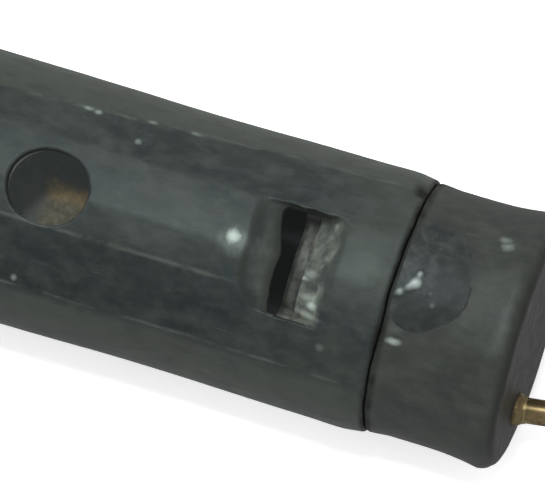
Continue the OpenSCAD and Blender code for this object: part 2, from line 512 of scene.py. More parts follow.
def block_loop(index, first, last):
    """Grid points round a patch, anticlockwise from outside, and their places in the block from -1 to 1."""
    cells = PATCH_CELLS
    rows = [*range(first, last), *[last] * cells, *range(last, first, -1), *[first] * cells]
    columns = [*[0] * (last - first), *range(cells), *[cells] * (last - first), *range(cells, 0, -1)]
    rows, columns = np.array(rows), np.array(columns)
    return index[rows, columns], 2 * (rows - first) / (last - first) - 1, 2 * columns / cells - 1


def grid_angles():
    """Angles of the grid's lengthwise lines, close together in the strip that holds the openings."""
    half = PATCH_HALF / body_r
    rest = half + (2 * math.pi - 2 * half) * np.arange(1, GRID_AROUND) / GRID_AROUND
    angles = np.concatenate([np.linspace(-half, half, PATCH_CELLS + 1), rest])
    return (angles + math.pi) % (2 * math.pi) - math.pi


def outer_place(x, angle):
    r = casing_radius(x, angle)
    waver = joint_waver(angle) * smoothstep(1.6, 0, joint_x - x)
    return x + waver, r * np.sin(angle), r * np.cos(angle)


def inner_radius(x):
    """The bore is stepped: it is wider where the lining sits than at the block."""
    return np.where(x > liner_high[0] + SLACK, bore_r + SLACK, liner_r + SLACK)


def inner_place(x, angle):
    r = inner_radius(x)
    return x, r * np.sin(angle), r * np.cos(angle)


def open_patch(shell, patch, outer_block, inner_ring):
    """Joins the grid round a patch to its opening: the surface, the rounded edge, the wall and the bore."""
    ring, along, across = outer_block
    edge = patch.edge_round

    def move_on(x, y, z):
        following = shell.add(x, y, z)
        shell.strip(ring, following)
        return following

    start_x, start_y, _ = shell.at(ring).T
    edge_x, edge_y = patch.loop(along, across, edge)
    steps, crowding = (24, 1.0) if patch.window else (9, 1.6)
    for t in np.linspace(0, 1, steps + 1)[1:]:
        ease = 1 - (1 - t) ** crowding
        x = start_x + (edge_x - start_x) * ease
        y = start_y + (edge_y - start_y) * ease
        ring = move_on(x, y, patch.height(x, y))
    for turn in (0.3, 0.6, 0.85, 1.0):
        beta = turn * math.pi / 2
        x, y = patch.loop(along, across, edge * (1 - math.sin(beta)))
        z = patch.height(x, y) - edge * (1 - math.cos(beta))
        ring = move_on(x, y, z)
    bottom = np.sqrt(inner_radius(x) ** 2 - y ** 2)
    top = np.maximum(z, bottom + LEAST_WALL)
    for t in (0.25, 0.5, 0.75, 1.0):
        level = top + (bottom - top) * t
        worn = 0.05 * layered_noise(np.stack([x, y, level], 1), 0.7, 81, 2) * math.sin(math.pi * t)
        ring = move_on(x + worn, y + worn, level)
    end_x, end_y, _ = shell.at(inner_ring).T
    for t in (0.33, 0.66):
        inner_x = x + (end_x - x) * t
        inner_y = y + (end_y - y) * t
        ring = move_on(inner_x, inner_y, np.sqrt(inner_radius(inner_x) ** 2 - inner_y ** 2))
    shell.strip(ring, inner_ring)


def build_casing():
    angles = grid_angles()
    patches = casing_patches()
    shell = Shell()
    outer_xs, outer_spans = grid_lines(patches, joint_x - FINE_GRID, True)
    inner_xs, inner_spans = grid_lines(patches, joint_x - FINE_GRID, False)
    outer = lay_grid(shell, outer_xs, angles, outer_place, outer_spans, True)
    inner = lay_grid(shell, inner_xs, angles, inner_place, inner_spans, False)
    shell.strip(outer[0], inner[0])
    shell.strip(inner[-1], outer[-1])
    for patch, outer_span, inner_span in zip(patches, outer_spans, inner_spans):
        open_patch(shell, patch, block_loop(outer, *outer_span), block_loop(inner, *inner_span)[0])
    marks = casing_marks(np.array(shell.points))
    make_piece("casing", shell.points, shell.faces, "whistle", "ebonite", "body_casing", marks=marks)


def casing_marks(spots):
    """Where the casing is rough, where it gets painted shade (the shadow under the window's wall, the lip's
    dark edge and outline, and darkening in recesses), where its inside is painted pale as dust and painted
    bounced light, and where the lip ramp is painted paler, for its material.
    """
    x, y, z = spots.T
    sunk = casing_radius(x, np.arctan2(y, z)) - np.hypot(y, z)
    back = joint_x - x
    beside = (np.abs(y) < WINDOW_HALF_W + 0.1) & (z > 0)
    on_bevel = beside & (back < SLOT_BACK) & (back > WINDOW_BACK - 0.6)
    on_ramp = beside & (back > LIP_BACK - 0.9) & (back < RAMP_END)
    rough = np.where(on_bevel, smoothstep(0.03, 0.8, sunk), 0)
    # painted shadow of the window's +Y wall on the bevel: wedge is its width, widest at the slot
    wedge = 0.25 + 0.8 * np.clip((back - WINDOW_BACK) / WINDOW_BEVEL, 0, 1)
    under_wall = smoothstep(wedge, 0.3 * wedge, WINDOW_HALF_W - y)
    rim = smoothstep(0.0, 0.05, sunk) * smoothstep(0.4, 0.14, sunk)
    # painted shade: dark along the lip's edge and as a thin dark outline where the cuts begin
    lip_shade = np.maximum(smoothstep(1.2, 0.1, lip_away(x, y)), 0.9 * rim)
    # painted shade: the wall's shadow on the bevel, the lip's edge, and darker the deeper a recess is
    grime = np.where(on_bevel, under_wall * rough, np.where(on_ramp, lip_shade, smoothstep(0.25, 0.7, sunk)))
    # dust, and painted bounced light: the deep inside is painted pale grey and glows faintly
    dust_and_bounce = np.where(on_bevel | on_ramp, 0, smoothstep(1.85, 2.15, sunk))
    # the lip ramp is painted paler: part rubbed tone, part painted light
    rubbed = np.where(on_ramp, smoothstep(0.25, 0.75, sunk), 0)
    return [("rough", rough), ("grime", grime), ("dust_and_bounce", dust_and_bounce), ("rubbed", rubbed)]


# ---- block, cap and plug

NOSE_DROP = 0.75
NOSE_LEN = 5.3
NOSE_FALL = 3.6
STUB_STEPS = 14
NOSE_STEPS = 46


def block_radius(x, angle):
    """Radius of the block: full round, with the windway channel and the rough, falling nose on top."""
    y = bore_r * np.sin(angle)
    in_channel = smoothstep(WINDWAY_HALF_W + 0.12, WINDWAY_HALF_W - 0.12, np.abs(y)) * (np.cos(angle) > 0)
    inward = x - block_low[0]
    fall = NOSE_DROP * smoothstep(NOSE_FALL, 0.0, inward) + 0.35 * smoothstep(0.5, 0.0, inward)
    spot = np.stack([x, y, bore_r * np.cos(angle)], 1)
    exposed = smoothstep(5.2, NOSE_FALL, inward)
    gouges = 0.24 * layered_noise(spot, 1.5, 91, 4, (1, 1.6, 1)) + 0.06 * layered_noise(spot, 0.5, 95, 2)
    floor = bore_r - WINDWAY_HEIGHT - fall + gouges * exposed
    return bore_r * (1 - in_channel) + floor * in_channel


def build_block():
    fine = np.radians(np.arange(-33, 33.1, 0.75))
    coarse = np.radians(np.arange(37, 323.1, 4))
    angles = np.concatenate([fine, coarse])
    nose_end = block_low[0] + NOSE_LEN
    xs = np.concatenate([
        np.linspace(block_low[0], nose_end, NOSE_STEPS),
        np.linspace(nose_end, block_high[0], STUB_STEPS)[1:],
    ])
    shell = Shell()

    def ring_at(x, scale=1.0):
        across = np.full(len(angles), x)
        r = block_radius(across, angles) * scale
        return shell.add(across, r * np.sin(angles), r * np.cos(angles))

    rings = [ring_at(x) for x in xs]
    for ring, following in zip(rings, rings[1:]):
        shell.strip(following, ring)
    for ring, x, flip in ((rings[0], xs[0], False), (rings[-1], xs[-1], True)):
        for scale in (0.93, 0.7, 0.4, 0.15):
            following = ring_at(x, scale)
            shell.strip(*((following, ring) if flip else (ring, following)))
            ring = following
        shell.close(ring, x, 0, 0, flip)
    x, y, _ = np.array(shell.points).T
    # painted shade: darker at the nose beside the slot and along the +Y side under the window's wall
    shade = np.maximum(0.75 * smoothstep(1.4, 0.1, x - block_low[0]), 0.9 * smoothstep(2.9, 4.8, y))
    marks = [("shade", shade)]
    make_piece("block", shell.points, shell.faces, "whistle", "block_ebonite", "fipple_block", marks=marks)


CAP_GAP = cap_low[0] - joint_x - 0.2
CAP_WAIST_R = 12.5
CAP_WAIST_END = 5.9
CAP_RIM_R = cap_high[2]
CAP_RIM_X = cap_len - 1.8
CAP_FACE_R = 11.4
CAP_WALL = 2.0
CREASE_AT = 0.8
CREASE_DEPTH = 0.06
SOCKET_R = 11.42
ARC_STEPS = 14


def cap_radius(x):
    """Outside radius of the cap at a distance x beyond the joint, up to the rim."""
    u = np.clip((x - CAP_WAIST_END) / (CAP_RIM_X - CAP_WAIST_END), 0, 1)
    return CAP_WAIST_R - 0.04 + (CAP_RIM_R - CAP_WAIST_R + 0.04) * u * u + 0.16 * smoothstep(2.6, 0.3, x)


def cap_outline():
    """Closed outline of the cap: lead-in, waist, flare, creased shoulder, dished end face and socket."""
    outline = [(CAP_WAIST_R - 0.12, CAP_GAP), (CAP_WAIST_R + 0.04, CAP_GAP + 0.08)]
    outline += [(cap_radius(x), x) for x in np.arange(CAP_GAP + 0.3, CAP_RIM_X, 0.4)]
    shoulder = cap_len - CAP_RIM_X
    for a in np.linspace(0, math.pi / 2, ARC_STEPS):
        x = CAP_RIM_X + shoulder * math.sin(a)
        r = CAP_FACE_R + (CAP_RIM_R - CAP_FACE_R) * math.cos(a)
        crease = CREASE_DEPTH * hump(a, CREASE_AT, 0.16)
        outline.append((r - crease, x - 0.5 * crease))
    dish = [(10.6, 0.02), (9.4, 0.08), (7.6, 0.14), (5.2, 0.19), (2.5, 0.24), (0, 0.26)]
    outline += [(r, cap_len - depth) for r, depth in dish]
    outline += [(r, cap_len - CAP_WALL) for r in (0, 6, SOCKET_R)]
    return outline + [(SOCKET_R, CAP_GAP + 0.3), (SOCKET_R + 0.15, CAP_GAP)]


def drill(piece, centre, direction, radius, low, high):
    """Cuts a round hole through a piece, about direction, from low to high along it. Millimetres."""
    bpy.ops.mesh.primitive_cylinder_add(vertices=64, radius=radius * MM, depth=(high - low) * MM)
    cutter = bpy.context.active_object
    aim = Vector(direction).normalized()
    cutter.rotation_mode = "QUATERNION"
    cutter.rotation_quaternion = aim.to_track_quat("Z", "Y")
    cutter.location = (Vector(centre) + aim * (low + high) / 2) * MM
    bpy.context.view_layer.update()
    cut = piece.modifiers.new("hole", "BOOLEAN")
    cut.operation = "DIFFERENCE"
    cut.solver = "EXACT"
    cut.object = cutter
    bpy.context.view_layer.objects.active = piece
    bpy.ops.object.modifier_apply(modifier=cut.name)
    bpy.data.objects.remove(cutter)


plug_middle = (plug_low + plug_high) / 2
PLUG_R = (plug_high[0] - plug_low[0]) / 2
plug_angle = math.atan2(plug_middle[1], plug_middle[2])
plug_direction = (0, math.sin(plug_angle), math.cos(plug_angle))

pipe_axis = np.array(next(j["axis"] for j in frame["joints"] if j["name"] == "pipe_slide"))
pipe_middle = (pipe_low + pipe_high) / 2
PIPE_INSIDE = 4.6
pipe_length = (pipe_high[0] - pipe_low[0] - (pipe_high[2] - pipe_low[2]) * pipe_axis[1]) / pipe_axis[0]
pipe_base = pipe_middle - pipe_axis * (pipe_length / 2 - PIPE_INSIDE)
PIPE_R = (pipe_high[2] - pipe_low[2]) / 2
bush_low, bush_high = corners("pipe_bush")
BUSH_R = (bush_high[2] - bush_low[2]) / 2


def cap_relief(points):
    """Slow waves and fine unevenness over the cap."""
    waves = 0.05 * layered_noise(points, 7, 101, 2, (1.4, 1, 1))
    fine = 0.018 * layered_noise(points, 1.2, 105, 2)
    return waves + fine - 0.03


def build_cap():
    points, faces = turned(stepped(cap_outline(), 0.55), 168)
    points[:, 0] += joint_waver(np.arctan2(points[:, 1], points[:, 2])) * smoothstep(1.6, 0, points[:, 0])
    points[:, 0] += joint_x
    cap = make_piece("cap", points, faces, "cap", "cap_ebonite", "wind_cap", cap_relief)
    drill(cap, (plug_middle[0], 0, 0), plug_direction, PLUG_R + SLACK, 8, body_r + 2)
    drill(cap, pipe_base, pipe_axis, BUSH_R + SLACK, -CAP_WALL - 1.5, 2)


PITCH_REACH = 4.6
PITCH_TALL = 1.38
PITCH_TURN = 0.1
PITCH_CROWN = 0.13
PITCH_FALL = 1.9
PITCH_BACK = 1.1
PITCH_RINGS = 40
PITCH_SEGMENTS = 132
PITCH_EDGE = 0.24
DROP_HEIGHT = 0.16
# hardened drops on the pitch: (place along, place across, radius, share of the full height)
DROPS = ((-0.75, -0.8, 0.58, 1.0), (-0.62, -0.05, 0.38, 0.6), (-1.35, -1.25, 0.42, 0.5),
         (-2.0, -1.7, 0.42, 0.7), (-2.75, -2.0, 0.4, 0.4), (0.9, -1.25, 0.4, 0.36),
         (1.4, -2.0, 0.5, 0.42), (2.5, 1.5, 0.45, 0.25))


def drops_at(along, across):
    """The hardened drops on the pitch, 0 away from them and 1 at the tallest one's top."""
    total = np.zeros(len(along))
    for at_along, at_across, radius, height in DROPS:
        total += height * hump(along, at_along, radius) * hump(PITCH_TALL * (across - at_across), 0, radius)
    return total


def pitch_height(along, across):
    """Thickness of the pitch over the cap's surface: a low, lumpy crown with small hardened drops."""
    spot = np.stack([along, across, np.zeros(len(along))], 1)
    distance = np.hypot(along, across)
    crown = PITCH_CROWN * (1 - PITCH_FALL * (distance / PITCH_REACH) ** 4)
    lumps = 0.07 * layered_noise(spot, 1.9, 111, 3) * smoothstep(PITCH_REACH + 0.6, 2.5, distance)
    return crown + lumps + DROP_HEIGHT * drops_at(along, across)


def build_pitch():
    """The pitch plug: a smeared crown over the cap, and the shaft that fills the hole."""
    turns = circle(PITCH_SEGMENTS)
    centre_x = plug_middle[0] - PITCH_BACK
    clip_x = joint_x + CAP_GAP + 0.3
    shaft_low = SOCKET_R + 0.06
    shell = Shell()
    drops, rim = [], []
    ragged = 1 + 0.05 * smooth_noise(np.stack([np.cos(turns), np.sin(turns), turns * 0], 1), 0.5, 121)

    def on_cap(part, sunk=None):
        along = np.maximum(centre_x + PITCH_REACH * part * ragged * np.cos(turns), clip_x) - centre_x
        across = PITCH_REACH * part * ragged * np.sin(turns)
        r = cap_radius(centre_x + along - joint_x)
        r = r + (pitch_height(along, across) if sunk is None else -sunk)
        angle = plug_angle + PITCH_TURN + PITCH_TALL * across / CAP_WAIST_R
        drops.extend(drops_at(along, across))
        # the edge on the side away from the light, darkened as painted shade
        rim.extend(smoothstep(-1.5, 3.5, along - across) * smoothstep(1.0, 0.75, part))
        return shell.add(centre_x + along, r * np.sin(angle), r * np.cos(angle))

    rings = [on_cap(part) for part in np.linspace(0.02, 0.985, PITCH_RINGS)]
    rings += [on_cap(1.0, PITCH_EDGE), on_cap(0.97, PITCH_EDGE + 0.06)]
    for level in (CAP_WAIST_R - 0.08, shaft_low):
        across = PLUG_R * np.sin(turns)
        height = np.sqrt(level ** 2 - across ** 2)
        y = across * math.cos(plug_angle) + height * math.sin(plug_angle)
        z = height * math.cos(plug_angle) - across * math.sin(plug_angle)
        rings.append(shell.add(plug_middle[0] + PLUG_R * np.cos(turns), y, z))
    for ring, following in zip(rings, rings[1:]):
        shell.strip(following, ring)
    for ring, flip in ((rings[0], False), (rings[-1], True)):
        x, y, z = shell.at(ring).mean(0)
        lift = shaft_low / math.hypot(y, z) if flip else 1.0
        shell.close(ring, x, y * lift, z * lift, flip)
    spare = [0] * (len(shell.points) - len(drops))
    marks = [("drops", np.array(drops + spare)), ("rim", np.array(rim + spare))]
    make_piece("pitch_plug", shell.points, shell.faces, "cap", "pitch", "cap_plug", marks=marks)


# ---- turned pieces

def soft_outline(x0, x1, r_out, r_in, round_by, step):
    """Outline of a plain tube with rounded corners, or of a solid rod where r_in is 0."""
    return stepped(softened([(r_in, x0), (r_in, x1), (r_out, x1), (r_out, x0)], round_by), step)


def along_bore(name, body, look, node, outline, relief, segments=128):
    """A piece turned about the bore axis, whose outline is in the frame's own x."""
    return make_piece(name, *turned(outline, segments), body, look, node, relief)


def along_pipe(name, body, look, node, outline, relief, segments=64):
    """A piece turned about the blowpipe, whose outline is measured from the cap's end face."""
    points, faces = turned(outline, segments)
    to_frame = np.array([pipe_axis, np.cross((0, 0, 1), pipe_axis), (0, 0, 1)])
    make_piece(name, points @ to_frame + pipe_base, faces, body, look, node, relief)


# ---- materials

def arithmetic(operation):
    """A method that adds a maths node to its value's tree."""
    return lambda value, other=0.0: value.shader.math(operation, value, other)


class Value:
    """A number or colour that a node tree works out. Arithmetic with it adds nodes to the tree."""

    def __init__(self, shader, socket):
        self.shader = shader
        self.socket = socket

    __add__ = arithmetic("ADD")
    __sub__ = arithmetic("SUBTRACT")
    __mul__ = arithmetic("MULTIPLY")
    __truediv__ = arithmetic("DIVIDE")
    __abs__ = arithmetic("ABSOLUTE")


class Shader:
    """One material's node tree, with short ways to add and join nodes. Texture sizes are in millimetres."""

    def __init__(self, name):
        self.material = bpy.data.materials.new(name)
        self.material.use_nodes = True
        self.tree = self.material.node_tree
        self.bsdf = self.tree.nodes["Principled BSDF"]
        coordinates = self.add("ShaderNodeTexCoord").outputs["Object"]
        scaled = self.add("ShaderNodeVectorMath", operation="SCALE")
        self.put(scaled.inputs[0], Value(self, coordinates))
        scaled.inputs["Scale"].default_value = 1 / MM
        self.place = Value(self, scaled.outputs[0])

    def add(self, kind, **settings):
        node = self.tree.nodes.new(kind)
        for key, value in settings.items():
            setattr(node, key, value)
        return node

    def put(self, socket, value):
        if isinstance(value, Value):
            self.tree.links.new(value.socket, socket)
        else:
            socket.default_value = value

    def result(self, node, output, **inputs):
        """The named output of a node, once its inputs are set or joined."""
        for key, value in inputs.items():
            self.put(node.inputs[key.replace("_", " ")], value)
        return Value(self, node.outputs[output])

    def noise(self, size, detail=4.0, roughness=0.6, stretch=(1, 1, 1), turn=(0, 0, 0)):
        """Noise in about 0..1 with lumps of this size, stretched along the turned axes."""
        scale = tuple(1 / (size * s) for s in stretch)
        mapped = self.result(self.add("ShaderNodeMapping"), 0, Vector=self.place, Rotation=turn, Scale=scale)
        noise = self.add("ShaderNodeTexNoise")
        return self.result(noise, "Fac", Vector=mapped, Scale=1.0, Detail=detail, Roughness=roughness)

    def cells(self, size):
        return self.result(self.add("ShaderNodeTexVoronoi"), "Distance", Vector=self.place, Scale=1 / size)

    def attribute(self, name):
        return Value(self, self.add("ShaderNodeAttribute", attribute_name=name).outputs["Fac"])

    def xyz(self):
        split = self.add("ShaderNodeSeparateXYZ")
        self.put(split.inputs[0], self.place)
        return [Value(self, output) for output in split.outputs]

    def round_bore(self):
        """Distance past the cap joint in millimetres, and the angle round the bore in degrees."""
        x, y, z = self.xyz()
        return x - joint_x, self.math("ARCTAN2", y, z) * (180 / math.pi)

    def between(self, value, low, high, to_low=0.0, to_high=1.0):
        """value mapped from low..high to to_low..to_high, smoothly and clamped."""
        node = self.add("ShaderNodeMapRange", interpolation_type="SMOOTHSTEP")
        limits = dict(zip(("From_Min", "From_Max", "To_Min", "To_Max"), (low, high, to_low, to_high)))
        return self.result(node, 0, Value=value, **limits)

    def math(self, operation, a, b=0.0):
        node = self.add("ShaderNodeMath", operation=operation)
        self.put(node.inputs[0], a)
        self.put(node.inputs[1], b)
        return Value(self, node.outputs[0])

    def most(self, *values):
        """The largest of the values."""
        return functools.reduce(lambda a, b: self.math("MAXIMUM", a, b), values)

    def hypot(self, a, b):
        return self.math("SQRT", self.math("POWER", a, 2.0) + self.math("POWER", b, 2.0))

    def near(self, value, centre, full, gone):
        """1 where value is within full of the centre, falling to 0 where it is gone from it."""
        return self.between(abs(value - centre), full, gone, 1.0, 0.0)

    def mix(self, factor, a, b):
        """Colour a where factor is 0 and b where it is 1."""
        node = self.add("ShaderNodeMix", data_type="RGBA")
        self.put(node.inputs[0], factor)
        for socket, colour in ((node.inputs[6], a), (node.inputs[7], b)):
            self.put(socket, colour if isinstance(colour, Value) else (*colour, 1.0))
        return Value(self, node.outputs[2])

    def tint(self, colour, other, value, low, high, strength=1.0):
        """A colour that turns to another, up to a strength, as value goes from low to high."""
        return self.mix(self.between(value, low, high, 0.0, strength), colour, other)

    def bump(self, height, distance, strength=1.0, below=None):
        node = self.add("ShaderNodeBump")
        if below is not None:
            self.put(node.inputs["Normal"], below)
        return self.result(node, 0, Height=height, Distance=distance * MM, Strength=strength)

    def finish(self, colour, roughness, normal=None, **others):
        if normal is not None:
            self.put(self.bsdf.inputs["Normal"], normal)
        self.result(self.bsdf, 0, Base_Color=colour, Roughness=roughness, **others)
        return self.material


DEGREE_MM = body_r * math.pi / 180
COOL_SHINE = (0.82, 1.0, 0.99, 1.0)
BOUNCED = (0.85, 1.0, 1.0, 1.0)
# painted bounced light: how strongly the lining's inside and the casing's deep inside glow
BORE_GLOW = 0.018
SLOT_GLOW = 0.017
STAIN_ALONG = 4.0
STAIN_ACROSS = 5.5
# painted shade laid over the whole recessed block
BLOCK_PAINTED_SHADE = 0.3
# how far each painted pool of light lies towards the cap from its finger hole
LIT_PATCH_SHIFT = 1.1

BROWN_FILM = (0.027, 0.0265, 0.0235)
# painted shade: a darker slate for the band just below the casing's top
PAINTED_SHADE_SLATE = (0.0055, 0.0078, 0.0088)
# painted light: paler green for the upper side, seen at a grazing angle
PAINTED_SIDE_LIGHT = (0.058, 0.067, 0.052)
STAIN = (0.021, 0.024, 0.0205)
BLOOM = (0.045, 0.052, 0.042)
SPECK = (0.13, 0.145, 0.135)
SCRATCH = (0.12, 0.135, 0.13)
RUBBED_EDGE = (0.11, 0.125, 0.108)
WORN = (0.09, 0.1, 0.087)
# painted shade colour for creases
CREASE_SHADE = (0.012, 0.013, 0.011)
JOINT_DIRT = (0.011, 0.0115, 0.01)
LIP_DARK = (0.04, 0.046, 0.037)
LIP_PALE = (0.058, 0.066, 0.053)
# pale for chips, and for the painted highlights among the marks
CHIP_AND_HIGHLIGHT_PALE = (0.42, 0.5, 0.45)
# painted shade colour for recesses, the lip's edge and the window wall's shadow
PAINTED_SHADE_DARK = (0.016, 0.017, 0.014)
END_FACE = (0.0145, 0.014, 0.0118)
SMEAR = (0.0175, 0.0192, 0.019)
# pale grey for the casing's deep inside: dust, and painted bounced light
DUST_AND_BOUNCE_PALE = (0.085, 0.09, 0.083)

# rubbed edges: (angle, turn of the noise, how broken the line is, distance past the joint where it fades)
WORN_EDGES = ((TOP_EDGE, 0.2, 0.34, -16.0), (LOW_EDGE, 0.3, 0.43, -3.0))


def band_tone(s, past, angle):
    """1 on the greener bands along the sides and partly beside the window, 0 on the slate top. The bands are
    part rubbed tone and part painted light: the paler grazing sides and a painted sheen beside the window.
    """
    wander = s.math("SINE", (past + SWING_START) / SWING_LENGTH) * GREEN_SWING
    above = angle - GREEN_EDGE - wander
    near_cap = s.between(past, -12.0, -3.0, 0.0, 0.75) * s.between(angle, -22.0, 4.0, 0.15, 1.0)
    return s.most(s.between(above, -1.5, 2.0), s.between(angle, -45.0, -54.0), near_cap), above


def worn_line(s, gap, width, turn, gaps=0.45):
    """A broken, pale line where gap (in degrees) is near 0: the rubbed edge between two planed strips."""
    broken = s.between(s.noise(1.5, 4, 0.7, (2.5, 1, 1), (0, 0, turn)), gaps, gaps + 0.21)
    return s.between(abs(gap), 0.0, width, 1.0, 0.0) * broken


def worn_lines(s, past, angle, above):
    lines = [worn_line(s, above, 2.2, 0.1)]
    for place, turn, gaps, stop in WORN_EDGES:
        fading = s.between(past, stop + 2.0, stop - 2.0, 0.2, 1.0)
        lines.append(worn_line(s, angle - place, 1.6, turn, gaps) * fading)
    return s.most(*lines)


def round_spot(s, past, angle, place, turn, length, width):
    """Distance from a place on the surface, 1 at the edge of a spot of this length and width round it."""
    return s.hypot((past - place) / length, (angle - turn) / (width / DEGREE_MM))


def scuffs_and_highlights(s, past, angle, marks):
    """Small pale chips, and soft pale spots that are painted highlights. Each mark is (distance past the
    joint, angle, length, width, strength).
    """
    ragged = (s.noise(0.7, 3, 0.6) - 0.5) * 0.9
    spots = [s.between(round_spot(s, past, angle, *spot) + ragged, 0.1, 1.5, strength, 0.0)
             for *spot, strength in marks]
    return s.most(*spots)


def scratches(s):
    """Fine scratches, mostly lengthwise, thick on the ground in some places and rare in others."""
    lengthwise = s.between(s.noise(0.34, 4, 0.7, (14, 1, 1), (0, 0, 0.03)), 0.6, 0.74)
    crosswise = s.between(s.noise(0.26, 3, 0.7, (9, 1, 1), (0.3, 0.2, 0.6)), 0.66, 0.78)
    return s.most(lengthwise, crosswise * 0.6) * s.between(s.noise(5, 2), 0.42, 0.6, 0.15, 1.0)


def joint_dirt(s, past, angle):
    """Dirt along the cap's joint, uneven round it, and the chip beside it darkened the same."""
    uneven = s.between(s.noise(2.6, 3, 0.5), 0.35, 0.62, 0.55, 1.0)
    in_chip = s.near(angle, CHIP_ANGLE, 2.0, 8.0) * s.near(past, -0.35, 0.4, 1.5)
    return s.most(s.near(past, 0.15, 0.25, 0.9) * uneven, in_chip)


def pitch_stain(s, past, angle):
    """A soft dark smear on the cap round the pitch plug, whose edge it hides."""
    place = plug_middle[0] - PITCH_BACK - joint_x
    turn = math.degrees(plug_angle + PITCH_TURN)
    distance = round_spot(s, past, angle, place, turn, STAIN_ALONG, STAIN_ACROSS)
    ragged = (s.noise(1.8, 4, 0.6) - 0.5) * 0.5
    return s.between(distance + ragged, 0.85, 1.35, 0.85, 0.0)


def rough_rubber(s):
    """Colour and height of rough-cut rubber: dark and grey-green blotches, pale flecks, a trace of rust."""
    broad = s.between(s.noise(1.7, 5, 0.65, (1, 1.3, 1)), 0.38, 0.62)
    colour = s.mix(broad, (0.034, 0.038, 0.037), (0.078, 0.087, 0.073))
    flecks = s.between(s.noise(1.6, 4, 0.58, (0.8, 1.5, 1), (0, 0, -0.7)), 0.5, 0.74)
    colour = s.mix(flecks * 0.6, colour, (0.2, 0.228, 0.188))
    colour = s.tint(colour, (0.1, 0.055, 0.04), s.noise(1.3, 2, 0.5), 0.62, 0.74, 0.45)
    return colour, s.noise(0.45, 6, 0.75)


def ebonite_relief(s, scored, cut, cut_height):
    """Bumps of old hard rubber: grain, two sizes of waves, scratches and the rough cut of the bevel."""
    fine = s.bump(s.noise(0.13, 3, 0.6), 0.006, 0.5)
    wave = s.bump(s.noise(2.8, 3, 0.55, (1.4, 1, 1)), 0.16, 0.5, fine)
    ripple = s.bump(s.noise(1.3, 4, 0.55, (2.0, 1, 1)), 0.05, 0.4, wave)
    return s.bump(cut_height * cut, 0.1, 0.8, s.bump(scored, -0.012, 0.5, ripple))


